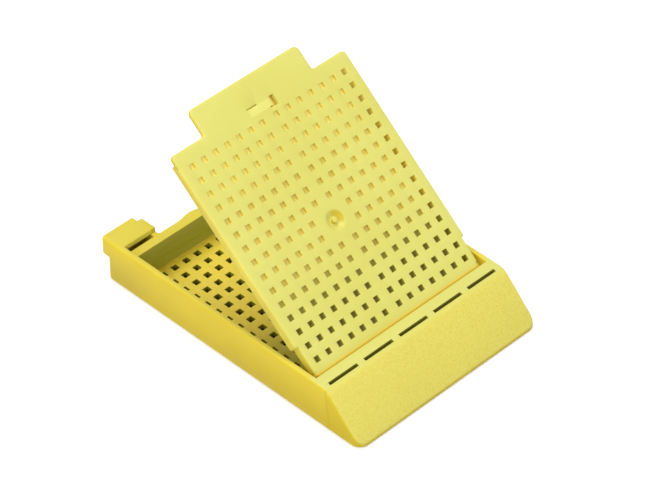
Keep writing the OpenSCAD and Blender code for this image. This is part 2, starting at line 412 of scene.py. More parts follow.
def outer_edge(edge):
    if len(edge.link_faces) != 2 or not edge_at(edge, z=0):
        return False
    tilts = sorted(abs(face.normal.z) for face in edge.link_faces)
    spot = middle(edge)
    beside_hole = in_hole(spot, HOLE_COLUMNS, LID_ROWS, LID_HOLE + 2 * SLACK)
    beside_dimple = math.hypot(spot.x, spot.y - GATE) < AROUND_DIMPLE
    outside = not (beside_hole or beside_dimple or in_window(spot))
    return tilts[0] < EDGE_ON and tilts[1] > SQUARE_ON and outside


def bevel(piece, width, steps, **settings):
    put_down()
    piece.select_set(True)
    bpy.context.view_layer.objects.active = piece
    edge = piece.modifiers.new("roundings", "BEVEL")
    edge.width = width
    edge.segments = steps
    edge.use_clamp_overlap = False
    for name, value in settings.items():
        setattr(edge, name, value)
    bpy.ops.object.modifier_apply(modifier=edge.name)


def soften(piece, width, steps):
    bevel(piece, width, steps, limit_method="ANGLE", angle_limit=SHARP)


def weigh(rule, width):
    """Marks the picked edges for the Bevel modifier, whose full width is FRONT_ROUND."""
    found = pick("EDGE", rule)
    bpy.ops.transform.edge_bevelweight(value=width / FRONT_ROUND)
    return found


take_up(lid)
print("side edges", weigh(lambda e: outer_edge(e) and middle(e).y > FRONT_EDGE, SIDE_ROUND))
print("front edges", weigh(lambda e: outer_edge(e) and middle(e).y <= FRONT_EDGE, FRONT_ROUND))
bevel(lid, FRONT_ROUND, 5, limit_method="WEIGHT")
soften(lid, SMALL_ROUND, 2)
tally(lid)

# %% [markdown]
# ## The tray's outline
# Seen from above, the tray is a long rectangle with rounded corners, cut away at the back between its two
# ears, where a finger reaches the lid's tab. Two low swellings behind the back wall space the trays in
# their basket. As with the lid, the outline is drawn flat first.

# %% The tray's outline
INNER, NECK, EAR_INNER, LIP_END = 13.6, 13.2, 8.8, 9.5
EAR_BACK, EAR_FRONT, WALL_BACK, RIM_FRONT = back - 1, 17.45, 16.85, 15.65
FLOOR_FRONT, SHOULDER = -11.15, -8.7
tray = sheet("tray_moulding", (-half_width, front), (half_width, EAR_BACK))
score("X", [-EAR_INNER, EAR_INNER])
score("Y", [WALL_BACK])
drop_faces(lambda f: abs(middle(f).x) < EAR_INNER and middle(f).y > WALL_BACK)
keep_outline()
round_corners([(half_width, front, 1.2, 9), (EAR_INNER, EAR_BACK, 0.25, 4), (EAR_INNER, WALL_BACK, 0.3, 4)])

# %% [markdown]
# ## The tray's floor
# The floor carries the same grid of square holes as the lid, a little larger. Its lines are scored only
# inside the compartment, so that the walls stay plain. Behind the back wall the outline is scored at a few
# places and pulled out into the two swellings.

# %% The tray's floor
FLOOR_HOLE, FLOOR_MIDDLE = 0.4, 2.425
FLOOR_ROWS = [FLOOR_MIDDLE + step for step in ROW_STEPS]
BUMP_MIDDLE, BUMP_HALF, BUMP_REACH, BUMP_STEPS = 3.9, 1.9, 0.3, 5
score("Y", [FLOOR_FRONT, RIM_FRONT])


def in_floor_band(face):
    return FLOOR_FRONT < middle(face).y < RIM_FRONT


score("X", [-INNER, INNER], in_floor_band)
score("X", beside(HOLE_COLUMNS, FLOOR_HOLE), in_floor_band)
score("Y", beside(FLOOR_ROWS, FLOOR_HOLE), lambda f: in_floor_band(f) and abs(middle(f).x) < INNER)
print("floor holes", drop_faces(lambda f: in_hole(middle(f), HOLE_COLUMNS, FLOOR_ROWS, FLOOR_HOLE)))
bumps = [side * BUMP_MIDDLE + BUMP_HALF * step / BUMP_STEPS
         for side in (-1, 1) for step in range(-BUMP_STEPS, BUMP_STEPS + 1)]
score("X", bumps, lambda f: middle(f).y > RIM_FRONT)
for place in bumps:
    from_middle = (abs(place) - BUMP_MIDDLE) / BUMP_HALF
    rise = BUMP_REACH * (math.cos(math.pi * from_middle) + 1) / 2
    if pick("VERT", lambda v: near(v.co.x, [place]) and near(v.co.y, [WALL_BACK])):
        bpy.ops.transform.translate(value=(0, rise, 0))
tally(tray)

# %% [markdown]
# ## The tray's walls
# The sheet gets the floor's thickness, the outlines of the walls are scored on its upper side, and then
# everything that stands higher than the floor is raised in steps: to the seat that the lid's lip stands
# in, to the low kerb behind it with a cheek at each end, to the rim at the back, and last to the full
# height of the walls, the ledge and the ears. Raising all of it each time, less what is already high
# enough, leaves one closed skin. Flat neighbours are then merged, so that the walls are plain faces again.

# %% The tray's walls
FLOOR_TOP, SEAT, KERB_TOP, RIM_TOP = 0.75, 3.965, 4.405, 5.1
LEDGE_BACK, TROUGH_BACK = -13.35, -11.45
take_up(tray)
bpy.ops.mesh.select_all(action="SELECT")
extrude((0, 0, FLOOR_TOP))
face_outwards()


def faces_up(low, high, half=math.inf):
    return lambda f: f.normal.z > SQUARE_ON and low < middle(f).y < high and abs(middle(f).x) < half


score("Y", [EAR_FRONT], faces_up(RIM_FRONT, EAR_BACK))
score("X", [-INNER, INNER, -LIP_END, LIP_END, -EAR_INNER, EAR_INNER], faces_up(RIM_FRONT, EAR_FRONT))
score("Y", [WALL_BACK], lambda f: faces_up(RIM_FRONT, EAR_FRONT)(f) and LIP_END < abs(middle(f).x) < INNER)
score("Y", [LEDGE_BACK], faces_up(front, FLOOR_FRONT))
score("Y", [SHOULDER], faces_up(FLOOR_FRONT, RIM_FRONT))
score("X", [-INNER, -NECK, NECK, INNER], faces_up(LEDGE_BACK, SHOULDER))
score("Y", [TROUGH_BACK], faces_up(LEDGE_BACK, FLOOR_FRONT, NECK))


def over_floor(p):
    wide_part = abs(p.x) < INNER and SHOULDER < p.y < RIM_FRONT
    return wide_part or (abs(p.x) < NECK and FLOOR_FRONT < p.y < SHOULDER)


def over_seat(p):
    return abs(p.x) < NECK and LEDGE_BACK < p.y < TROUGH_BACK


def over_front(p):
    return abs(p.x) < INNER and LEDGE_BACK < p.y < SHOULDER


def over_rim(p):
    return abs(p.x) < INNER and RIM_FRONT < p.y < EAR_FRONT


def raise_up(low, high, stays):
    def goes_up(face):
        return face.normal.z > SQUARE_ON and near(middle(face).z, [low]) and not stays(middle(face))

    found = pick("FACE", goes_up)
    extrude((0, 0, high - low))
    print("raised to", high, "faces", found)


raise_up(FLOOR_TOP, SEAT, over_floor)
raise_up(SEAT, KERB_TOP, over_seat)
raise_up(KERB_TOP, RIM_TOP, over_front)
raise_up(RIM_TOP, top, over_rim)
merge_flats(lambda f: abs(f.normal.z) < EDGE_ON)
tally(tray)

# %% [markdown]
# ## The writing face
# The front of the tray slopes at 45 degrees, and a printer or a pencil writes on it. The block's top is
# scored across at a few places and each line of corners is let down onto the profile: a straight slope
# that runs into the flat ledge through a broad curve. The scored lines carry the narrow slots too.

# %% The writing face
SLOPE_ANGLE, SLOPE_TOP = math.radians(45), -15.45
BEND_R, BEND_REACH, BEND_MIDDLE = 1.93, 0.8, -15.73
BEND_START, BEND_END = SLOPE_TOP + BEND_REACH, SLOPE_TOP - BEND_REACH * math.cos(SLOPE_ANGLE)
SLOT_FRONT, SLOT_BACK, SLOT_HALF, SLOT_PITCH = -15.19, -14.77, 2.2, 5.5
SLOT_MIDDLES = [SLOT_PITCH * step for step in range(-2, 3)]


def profile(place):
    if place > BEND_START:
        return top
    if place > BEND_END:
        return top - BEND_R + math.sqrt(BEND_R ** 2 - (BEND_START - place) ** 2)
    return top - (SLOPE_TOP - place)


take_up(tray)
stations = [BEND_START, SLOT_BACK, SLOT_FRONT, SLOPE_TOP, BEND_MIDDLE, BEND_END]
score("Y", stations, faces_up(front, LEDGE_BACK))
score("X", beside(SLOT_MIDDLES, SLOT_HALF), faces_up(SLOT_FRONT, SLOT_BACK))
mesh = bpy.context.object.data
rows = sorted({round(v.co.y, 4) for v in bmesh.from_edit_mesh(mesh).verts
               if v.co.y < BEND_START - SLACK and near(v.co.z, [top])})
for row in rows:
    pick("VERT", lambda v: near(v.co.y, [row], SLACK / 10) and near(v.co.z, [top]))
    bpy.ops.transform.translate(value=(0, 0, profile(row) - top))
print("rows let down", len(rows), "foot at", round(profile(front), 2))

# %% [markdown]
# ## The hollow underneath
# A moulding this thick would sink as it cooled, so the writing end is hollow from below, with a skin that
# follows the slope. The bottom's face is scored and pushed up in three steps, and the front edge of each
# step is drawn back until the roof runs level with the slope above it.

# %% The hollow underneath
HOLLOW_FRONT, HOLLOW_BACK, HOLLOW_STEP = -19.8, -11.85, -14.2
HOLLOW_ROOF, SEAT_ROOF, HOLLOW_LIP = 5.15, 3.265, 0.572


def faces_down(level, low, high, half=math.inf):
    return lambda f: (f.normal.z < -SQUARE_ON and near(middle(f).z, [level]) and low < middle(f).y < high
                      and abs(middle(f).x) < half)


def draw_back(level, old, new):
    pick("EDGE", lambda e: edge_at(e, y=old, z=level) and all(abs(v.co.x) < INNER + SLACK for v in e.verts))
    bpy.ops.transform.translate(value=(0, new - old, 0))


score("Y", [HOLLOW_FRONT, HOLLOW_STEP, HOLLOW_BACK], faces_down(0, front, FLOOR_FRONT))
score("X", [-INNER, INNER], faces_down(0, HOLLOW_FRONT, HOLLOW_BACK))
pick("FACE", faces_down(0, HOLLOW_FRONT, HOLLOW_BACK, INNER))
extrude((0, 0, HOLLOW_LIP))
pick("FACE", faces_down(HOLLOW_LIP, HOLLOW_FRONT, HOLLOW_BACK, INNER))
extrude((0, 0, SEAT_ROOF - HOLLOW_LIP))
lean = HOLLOW_FRONT - HOLLOW_LIP
draw_back(SEAT_ROOF, HOLLOW_FRONT, lean + SEAT_ROOF)
pick("FACE", faces_down(SEAT_ROOF, HOLLOW_FRONT, HOLLOW_STEP, INNER))
extrude((0, 0, HOLLOW_ROOF - SEAT_ROOF))
draw_back(HOLLOW_ROOF, lean + SEAT_ROOF, lean + HOLLOW_ROOF)
tally(tray)

# %% [markdown]
# ## The slots, the ears and the catch groove
# The ledge's five slots go through into the hollow: the faces above and below are deleted and their rims
# bridged. Each ear is a box open underneath, with a slot up through the rim in front of it. The back wall
# has a groove low down inside, which the lid's catch springs into.

# %% The slots, the ears and the catch groove
EAR_ROOF, HOLLOW_EAR_BACK = 5.0, 19.0
GROOVE_TOP, GROOVE_DEPTH, GROOVE_ROUND, LEVEL_FACE = 2.7, 0.35, 0.16, 0.7
take_up(tray)
score("Y", [SLOT_FRONT, SLOT_BACK], faces_down(HOLLOW_ROOF, front, HOLLOW_STEP))
score("X", beside(SLOT_MIDDLES, SLOT_HALF), faces_down(HOLLOW_ROOF, SLOT_FRONT, SLOT_BACK))


def open_slot(where):
    drop_faces(lambda f: abs(f.normal.z) > LEVEL_FACE and where(middle(f)))
    pick("EDGE", lambda e: len(e.link_faces) == 1)
    bpy.ops.mesh.bridge_edge_loops()


def hollow_ear(side):
    under_ear = faces_down(0, WALL_BACK, HOLLOW_EAR_BACK)
    score("Y", [WALL_BACK, EAR_FRONT, HOLLOW_EAR_BACK],
          lambda f: faces_down(0, RIM_FRONT, EAR_BACK)(f) and side * middle(f).x > 0)
    score("X", [side * LIP_END, side * INNER], lambda f: under_ear(f) and side * middle(f).x > 0)
    found = pick("FACE", lambda f: under_ear(f) and LIP_END < side * middle(f).x < INNER)
    extrude((0, 0, EAR_ROOF))
    print("ear", side, "hollowed from", found, "faces")


for slot_middle in SLOT_MIDDLES:
    open_slot(lambda p: abs(p.x - slot_middle) < SLOT_HALF and SLOT_FRONT < p.y < SLOT_BACK and p.z > SEAT)
for side in (-1, 1):
    hollow_ear(side)
    open_slot(lambda p: LIP_END < side * p.x < INNER and WALL_BACK < p.y < EAR_FRONT
              and near(p.z, [EAR_ROOF, RIM_TOP]))


def back_wall(face):
    return face.normal.y < -SQUARE_ON and near(middle(face).y, [RIM_FRONT]) and abs(middle(face).x) < INNER


score("Z", [GROOVE_TOP], back_wall)
pick("FACE", lambda f: back_wall(f) and middle(f).z < GROOVE_TOP)
extrude((0, GROOVE_DEPTH, 0))
print("groove edge", pick("EDGE", lambda e: edge_at(e, y=RIM_FRONT, z=GROOVE_TOP)))
round_off(GROOVE_ROUND, 3)
tally(tray)

# %% [markdown]
# ## The finger lips
# Each ear carries a lip behind it to pull the tray out of a stack by. The upper part of the ear's back
# face is scored and pulled backwards, and the new corner is rounded underneath and at its side.

# %% The finger lips
LIP_LOW, LIP_CORNER, LIP_END_ROUND, TRAY_CORNER = 3.4, 0.55, 0.22, 0.65
take_up(tray)


def ear_back_face(face):
    return face.normal.y > SQUARE_ON and near(middle(face).y, [EAR_BACK])


score("Z", [LIP_LOW], ear_back_face)
score("X", [-LIP_END, LIP_END], lambda f: ear_back_face(f) and middle(f).z > LIP_LOW)
found = pick("FACE", lambda f: ear_back_face(f) and middle(f).z > LIP_LOW and abs(middle(f).x) > LIP_END)
extrude((0, back - EAR_BACK, 0))
print("lips", found)


def upright_at(edge, x, y):
    return edge_at(edge, x=x, y=y) or edge_at(edge, x=-x, y=y)


def lip_corner(edge):
    return upright_at(edge, half_width, back) or edge_at(edge, y=back, z=LIP_LOW)


def lower_corner(edge):
    return upright_at(edge, half_width, EAR_BACK) and all(v.co.z < LIP_LOW + SLACK for v in edge.verts)


print("lip edges", pick("EDGE", lip_corner))
round_off(LIP_CORNER, 6)
print("lip ends", pick("EDGE", lambda e: upright_at(e, LIP_END, back)))
round_off(LIP_END_ROUND, 3)
print("lower corners", pick("EDGE", lower_corner))
round_off(TRAY_CORNER, 6)
tally(tray)

# %% [markdown]
# ## The tray's rounded edges
# The outline's upper edge is rounded most, all the way round and down both sides of the writing face, and
# the lower edge less. The seat's back corner is filled to the radius of the lid's lip. The Bevel modifier
# then softens whatever is still sharp.

# %% The tray's rounded edges
UPPER_ROUND, LOWER_ROUND, SEAT_ROUND, TRAY_SMALL_ROUND = 0.3, 0.4, 0.4, 0.05
LEAST_TURN, LEAST_UP, NEAR_EDGE = math.radians(30), 0.6, 0.1
take_up(tray)


def outline_edge(edge, upper):
    spot = middle(edge)
    sides = [face.normal for face in edge.link_faces]
    if len(sides) != 2 or sides[0].angle(sides[1]) < LEAST_TURN:
        return False
    wall = min(sides, key=lambda n: abs(n.z))
    other = max(sides, key=lambda n: abs(n.z))
    at_edge = abs(spot.x) > INNER + NEAR_EDGE or spot.y < HOLLOW_FRONT or spot.y > EAR_BACK
    outside = wall.dot(Vector((spot.x, spot.y, 0))) > 0 and at_edge
    return abs(wall.z) < EDGE_ON and outside and (other.z > LEAST_UP if upper else other.z < -SQUARE_ON)


print("upper outline", pick("EDGE", lambda e: outline_edge(e, True)))
round_off(UPPER_ROUND, 5)
print("lower outline", pick("EDGE", lambda e: outline_edge(e, False) and middle(e).z < NEAR_EDGE))
round_off(LOWER_ROUND, 5)
print("seat corner", pick("EDGE", lambda e: edge_at(e, y=TROUGH_BACK, z=SEAT)))
round_off(SEAT_ROUND, 5)
soften(tray, TRAY_SMALL_ROUND, 2)
tally(tray)

# %% [markdown]
# ## Bringing the pieces to size and place
# Each piece is turned to where it stands and brought down to metres, and that is then applied, so that
# its object sits at the origin with its place in its mesh. The lid stands open, so it turns about the
# round foot of its lip.

# %% Size and place
lid.rotation_euler = (math.radians(OPEN_ANGLE), 0, 0)
lean_y, lean_z = math.sin(math.radians(OPEN_ANGLE)), math.cos(math.radians(OPEN_ANGLE))
LIP_R, AXIS_DEPTH, SMOOTH_UP_TO = 0.4, 1.235, math.radians(40)
lid_place = (0, axis_y - LIP_R * lean_z - AXIS_DEPTH * lean_y, axis_z - LIP_R * lean_y + AXIS_DEPTH * lean_z)
lid.location = lid_place
for piece in (tray, lid):
    put_down()
    piece.select_set(True)
    bpy.context.view_layer.objects.active = piece
    bpy.ops.object.transform_apply(location=True, rotation=True, scale=True)
    piece.scale = (1 / UNITS, 1 / UNITS, 1 / UNITS)
    bpy.ops.object.transform_apply(location=False, rotation=False, scale=True)
    bpy.ops.object.shade_smooth_by_angle(angle=SMOOTH_UP_TO)
    corners = [Vector(corner) * UNITS for corner in piece.bound_box]
    print(piece.name, [round(v, 2) for v in corners[0]], [round(v, 2) for v in corners[6]])

# %% Bodies, and the parts they replace
for piece, node in ((tray, "base"), (lid, "lid")):
    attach(piece, node)
    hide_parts(node)
    print(piece.name, "rides on and replaces", node)

# %% [markdown]
# ## The view
# The camera looks down at 41 degrees from the front left, from far away with a long lens, so that
# parallel edges stay nearly parallel.

# %% Camera
scene = bpy.context.scene
azimuth, elevation = math.radians(-45.087), math.radians(41.157)
aim, distance = Vector((0.00211, 0.00095, 0.00664)), 0.42
LENS, NEAREST = 205.62, 0.01
away = Vector((math.sin(azimuth) * math.cos(elevation), -math.cos(azimuth) * math.cos(elevation),
               math.sin(elevation)))
camera_data = bpy.data.cameras.new("camera")
camera_data.lens = LENS
camera_data.clip_start = NEAREST
camera = bpy.data.objects.new("camera", camera_data)
scene.collection.objects.link(camera)
camera.location = aim + away * distance
camera.rotation_euler = (-away).to_track_quat("-Z", "Y").to_euler()
scene.camera = camera
scene.view_settings.view_transform = "Standard"
print("camera at", [round(v, 3) for v in camera.location])

# %% [markdown]
# ## Shader expressions
# A finish is mostly arithmetic on patterns. This class wraps a node's output so that plus, minus and times
# add Math nodes, and one method adds any other node from its type, its settings and its inputs. Masks are
# signals between 0 and 1 that say where a colour goes. Two of the methods make them from a place, in
# metres: one from a low and a high end, the other from a middle and how far it reaches on both sides.

# %% Shader helper
class Signal:
    def __init__(self, tree, output=None):
        self.tree = tree
        self.output = output

    def node(self, kind, settings=None, inputs=None, result=0):
        made = self.tree.nodes.new("ShaderNode" + kind)
        for name, value in (settings or {}).items():
            setattr(made, name, value)
        for name, value in (inputs or {}).items():
            socket = made.inputs[name]
            if isinstance(value, Signal):
                self.tree.links.new(value.output, socket)
            else:
                socket.default_value = value
        return Signal(self.tree, made.outputs[result])

    def math(self, operation, first, second):
        return self.node("Math", {"operation": operation}, {0: first, 1: second})

    def __add__(self, other):
        return self.math("ADD", self, other)

    def __radd__(self, other):
        return self.math("ADD", other, self)

    def __sub__(self, other):
        return self.math("SUBTRACT", self, other)

    def __rsub__(self, other):
        return self.math("SUBTRACT", other, self)

    def __mul__(self, other):
        return self.math("MULTIPLY", self, other)

    def __rmul__(self, other):
        return self.math("MULTIPLY", other, self)

    def larger(self, other):
        return self.math("MAXIMUM", self, other)

    def size(self):
        return self.math("ABSOLUTE", self, 0.0)

    def step(self, low, high):
        """0 below low, 1 above high, smooth between."""
        return self.node("MapRange", {"interpolation_type": "SMOOTHSTEP"},
                         {"Value": self, "From Min": low, "From Max": high, "To Min": 0.0, "To Max": 1.0})

    def around(self, place, inner, outer):
        """1 up to inner from a place, 0 beyond outer, smooth between."""
        return 1 - (self - place).size().step(inner, outer)

    def tint(self, none, full):
        """One colour where the signal is 0, the other where it is 1."""
        return self.node("Mix", {"data_type": "RGBA"}, {"Factor": self, 6: none, 7: full}, result=2)

    def along(self, direction):
        return self.node("VectorMath", {"operation": "DOT_PRODUCT"}, {0: self, 1: direction}, result="Value")

    def part(self, axis):
        return self.node("SeparateXYZ", inputs={0: self}, result=axis)


def linear(red, green, blue):
    """A colour as read off a swatch, 0 to 255, in the linear values that a shader uses."""
    spread = [v / 255 for v in (red, green, blue)]
    return tuple(v / 12.92 if v < 0.04045 else ((v + 0.055) / 1.055) ** 2.4 for v in spread) + (1.0,)


def lay(colour, layers):
    """Lays colours over a first one, each given as its mask, its strength and the colour."""
    for mask, strength, over in layers:
        colour = (mask * strength).tint(colour, over)
    return colour


def bare_tree(owner):
    owner.use_nodes = True
    owner.node_tree.nodes.clear()
    return owner.node_tree


def end_with(tree, kind, surface):
    end = tree.nodes.new("ShaderNodeOutput" + kind)
    tree.links.new(surface.output, end.inputs["Surface"])


print("a mid grey in linear values", [round(v, 3) for v in linear(128, 128, 128)])

# %% [markdown]
# ## The yellow plastic
# The plastic is acetal, coloured right through: a soft satin sheen, and light that sinks a little way in
# and comes out warmer. Light and shade are also painted into the colour: the flat faces are painted pale,
# as lit faces look, while sides, walls of holes and rounded edges are painted a deeper, warmer yellow, as
# less lit faces look. So the colour is mixed by which way the surface faces, in the piece's own space, and
# a slow noise keeps either from being even.

# %% Plastic
WARM, WARM_DEEP = linear(236, 211, 44), linear(206, 181, 22)
CLOUD_SCALE, SPECK_SCALE, PEEL_SCALE = 75.0, 5000.0, 900.0
CLOUD_RANGE, SPECK_RANGE, TILT_RANGE, FLAT_FROM = (0.38, 0.62), (0.3, 0.7), (0.8, 0.97), 0.98


class Plastic:
    """Starts one finish: the mixed yellow, its evenness, and the height that its bump reads."""

    def __init__(self, name, flat_directions, steepest, least_pale):
        self.material = bpy.data.materials.new(name)
        self.tree = bare_tree(self.material)
        start = Signal(self.tree)
        self.place = start.node("TexCoord", result="Object")
        self.faces = start.node("TexCoord", result="Normal")
        square_on = self.faces.along(flat_directions[0]).size()
        for direction in flat_directions[1:]:
            square_on = square_on.larger(self.faces.along(direction))
        self.tilted = 1 - square_on.step(*TILT_RANGE)
        self.facing = square_on.step(steepest, FLAT_FROM)
        # The share of painted lit paleness: full on faces square on, least_pale on sides.
        self.flat = self.facing * (1 - least_pale) + least_pale
        self.cloud = self.noise(CLOUD_SCALE, 3.0).step(*CLOUD_RANGE)
        self.speck = self.noise(SPECK_SCALE, 2.0)
        self.peel = self.noise(PEEL_SCALE, 1.0)

    def noise(self, scale, detail):
        inputs = {"Vector": self.place, "Scale": scale, "Detail": detail, "Roughness": 0.55}
        return self.place.node("TexNoise", inputs=inputs)

    def yellow(self, paleness, pale, warmth, shaded, shade):
        # Painted light and shade: warm yellow on sides, painted shade where shaded is set, painted lit
        # paleness on faces square on.
        warm = shaded.tint(warmth.tint(WARM_DEEP, WARM), shade)
        return (self.flat * paleness).tint(warm, self.cloud.tint(*pale))

    def finish(self, colour, grain, height, roughness, glow):
        colour = ((self.speck.step(*SPECK_RANGE) - 0.5).size() * grain).tint(colour, WARM_DEEP)
        bump = self.place.node("Bump", inputs={"Height": height, "Strength": 0.4, "Distance": 0.00004})
        surface = self.place.node("BsdfPrincipled", {"subsurface_method": "RANDOM_WALK"}, {
            "Base Color": colour, "Roughness": roughness, "Normal": bump, "IOR": 1.48,
            "Emission Color": glow, "Emission Strength": 0.3, "Specular IOR Level": 0.35,
            "Subsurface Weight": 0.12, "Subsurface Radius": (1.0, 0.8, 0.3), "Subsurface Scale": 0.0005})
        end_with(self.tree, "Material", surface)
        print("finish", self.material.name, "nodes", len(self.tree.nodes))
        return self.material


print("warm yellow in linear values", [round(v, 3) for v in WARM])

# %% [markdown]
# ## The lid's finish
# The lid leans, so its flat faces are those square to its own upright. Both are painted pale as lit faces,
# and its edges and its dimple's wall are painted warm as less lit, one side of the dimple more so. Low on
# the lid the holes open over the tray, and painted shade keeps them dark and greenish, ochre further up,
# with the lands of the lowest holes darker still; the floors of the latch's gaps are painted brown as shade.
# Higher up the plastic inside the holes is painted paler and warmer and given a faint glow, for light that
# comes through the thin plastic there. The front edge and the latch plate are painted lighter as lit. The
# masks' places are in metres, up the lid from its front edge and down from its face.

# %% Places on the lid
lid_plastic = Plastic("yellow_lid", [(0, -lean_y, lean_z)], steepest=0.3, least_pale=0.35)
lid_foot = (lid_place[1] * lean_z + lid_place[2] * lean_y) / UNITS
lid_top = (lid_place[2] * lean_z - lid_place[1] * lean_y) / UNITS
beside_middle = lid_plastic.place.part("X")
up_lid = lid_plastic.place.along((0, lean_z, lean_y)) - lid_foot
level = lid_plastic.place.along((0, -lean_y, lean_z)) - lid_top
print("the lid's front edge is at", round(lid_foot, 5), "and its face at", round(lid_top, 5))

# %% Masks on the lid
DIMPLE_SQUARED, TURNED_FRONT = (1.6e-6, 1.9e-6), (0.02, 0.35)
CRESCENT_SIDE, CRESCENT_DOWN, CRESCENT_RANGE = 0.9, 0.4, (0.1, 0.45)
FRONT_HOLES, MIDDLE_HOLES, UPPER_HOLES = (0.004, 0.011), (0.005, 0.013), (0.019, 0.0235)
HOLES_START, HOLES_END, HOLES_SIDE = (0.0007, 0.0009), (0.0272, 0.0273), (0.0123, 0.0125)
FACE_LEVEL, GAP_LEVEL, FOOT_LEVEL = (-0.00012, -0.00005), (-0.0004, -0.0003), (-0.00054, -0.00050)
EDGE_END, EDGE_LEVEL, WINDOW_START = (0.00045, 0.0006), (-0.0012, -0.0009), (0.0274, 0.0276)
PLATE_MIDDLE, PLATE_HALF, PLATE_SIDE = 0.02835, (0.00046, 0.00054), (0.0018, 0.0020)
from_gate = up_lid - GATE / UNITS
off_dimple = (beside_middle * beside_middle + from_gate * from_gate).step(*DIMPLE_SQUARED)
high_up = up_lid.step(*MIDDLE_HOLES) * 0.6 + up_lid.step(*UPPER_HOLES) * 0.4
among_holes = beside_middle.around(0.0, *HOLES_SIDE) * up_lid.step(*HOLES_START) * (1 - high_up) * off_dimple
sunk = (1 - level.step(*FACE_LEVEL)) * level.step(*FOOT_LEVEL)
hole_sides = among_holes * lid_plastic.tilted.larger(sunk)
low_land_shade = among_holes * sunk * lid_plastic.facing * (1 - up_lid.step(*FRONT_HOLES))
# Painted light: in the upper holes the walls are painted amber and the lands glow, for light that comes
# through the plastic.
upper_hole_glow = sunk * high_up * (1 - up_lid.step(*HOLES_END)) * off_dimple
upper_wall_glow, upper_land_glow = upper_hole_glow * lid_plastic.tilted, upper_hole_glow * lid_plastic.facing
gap_floor = sunk * (1 - level.step(*GAP_LEVEL)) * up_lid.step(*WINDOW_START)
facing_front = lid_plastic.faces.along((0, -lean_z, -lean_y)).step(*TURNED_FRONT)
# Painted light: the rounded front edge is painted amber and made to glow a little, lighter than its shade.
front_edge = (1 - up_lid.step(*EDGE_END)) * level.step(*EDGE_LEVEL) * facing_front
# Painted light: the latch plate's face is painted brighter than the face round it.
on_plate = beside_middle.around(0.0, *PLATE_SIDE) * up_lid.around(PLATE_MIDDLE, *PLATE_HALF)
# Painted shade: the dimple's slopes that face left and down are painted less pale.
crescent_faces = (-CRESCENT_SIDE, -CRESCENT_DOWN * lean_z, -CRESCENT_DOWN * lean_y)
crescent_shade = lid_plastic.faces.along(crescent_faces).step(*CRESCENT_RANGE)
print("nodes in the lid's masks", len(lid_plastic.tree.nodes))

# %% The lid's finish
LIT_PALE, LIT_PALE_DEEP, LIT_BRIGHT = linear(228, 224, 117), linear(225, 219, 109), linear(239, 235, 127)
DARK_SHADE_AND_LINE, OCHRE_SHADE, BROWN_SHADE = linear(158, 150, 45), linear(205, 172, 62), linear(214, 166, 50)
DEEP_SHADE, LIT_AMBER, PAINTED_GLOW = linear(92, 80, 18), linear(245, 219, 90), linear(230, 240, 160)
NO_GLOW, DARK_TO_OCHRE = (0.0, 0.0, 0.0, 1.0), (0.006, 0.014)
# Painted shade: hole sides and lands, and the latch's gap floors, are painted dark, green low down, ochre
# higher and brown in the gaps.
shaded = hole_sides + gap_floor
lid_lit_share = 1 - (1 - off_dimple) * crescent_shade * 0.8 - shaded * 0.9
lid_shade = gap_floor.tint(up_lid.step(*DARK_TO_OCHRE).tint(DARK_SHADE_AND_LINE, OCHRE_SHADE), BROWN_SHADE)
lid_yellow = lid_plastic.yellow(lid_lit_share, (LIT_PALE_DEEP, LIT_PALE), lid_plastic.cloud, shaded, lid_shade)
lid_colour = lay(lid_yellow, ((front_edge, 1.0, LIT_AMBER), (on_plate * lid_plastic.facing, 0.7, LIT_BRIGHT),
                              (low_land_shade, 0.75, DEEP_SHADE), (upper_wall_glow, 0.5, LIT_AMBER)))
# Painted glow: the upper holes' lands and walls and the lid's front edge glow, though no lamp is there.
lid_glow = lay(NO_GLOW, ((upper_land_glow, 1.0, PAINTED_GLOW), (upper_wall_glow, 0.08, LIT_AMBER), (front_edge, 0.28, LIT_AMBER)))
lid_height = lid_plastic.speck * 0.25 + lid_plastic.peel * 0.3
lid_rough = lid_plastic.cloud * 0.06 + 0.44
lid.data.materials.append(lid_plastic.finish(lid_colour, 0.1, lid_height, lid_rough, lid_glow))

# %% [markdown]
# ## The tray's finish
# On the tray the ledge is painted palest, as lit, and the rim, the ears and the floor behind it are painted
# warmer, as less lit, and darker towards the bottom. The back wall is painted greener inside and the
# ledge's slots and the walls of the floor's holes deeper in colour, as painted shade, because their plastic
# gets little light, while the walls of the slots beside the ears and the edge of the back wall's groove
# carry a painted highlight. The room's floor is painted lit at the back and shaded, greener, towards the
# front. The writing face is spark-eroded in the mould: it is finely grained and duller, to take pencil and
# print. Where the two halves of the mould meet, a fine line runs down each side, just behind the writing
# face. The masks' places are in metres: the room is the hollow between the walls, where the tissue lies.

# %% Masks on the tray
LEDGE_END, SLOPE_EDGE = (-0.0134, -0.0125), (-0.0160, -0.0150)
LINE_PLACE, LINE_HALF, LINE_SIDE = -0.0154, (0.00004, 0.00012), (0.0141, 0.0142)
LINE_TOP, LINE_LEAN = 0.0056, 0.148
ROOM_HALF, ROOM_MIDDLE, ROOM_REACH = (0.01355, 0.01365), 0.0013, (0.0146, 0.0149)
ROOM_TOP = 0.0053, 0.0056
FLOOR_LOW, FLOOR_HIGH, HOLE_WALL_TOP = (0.0003, 0.0005), (0.0008, 0.0010), (0.0007, 0.00075)
EAR_SLOT, EAR_SLOT_HALF = 0.01715, (0.00033, 0.00037)
EAR_SLOT_MIDDLE, EAR_SLOT_REACH, FACING_ENDS = 0.01155, (0.0021, 0.0022), (0.6, 0.8)
LEDGE_SLOT, LEDGE_SLOT_HALF, LEDGE_SLOT_ENDS = -0.01498, (0.00028, 0.00032), (0.0133, 0.0134)
GROOVE_LEVEL, GROOVE_BAND, GROOVE_PLACE, GROOVE_REACH = 0.00272, (0.00008, 0.0002), 0.0157, (0.0001, 0.0002)
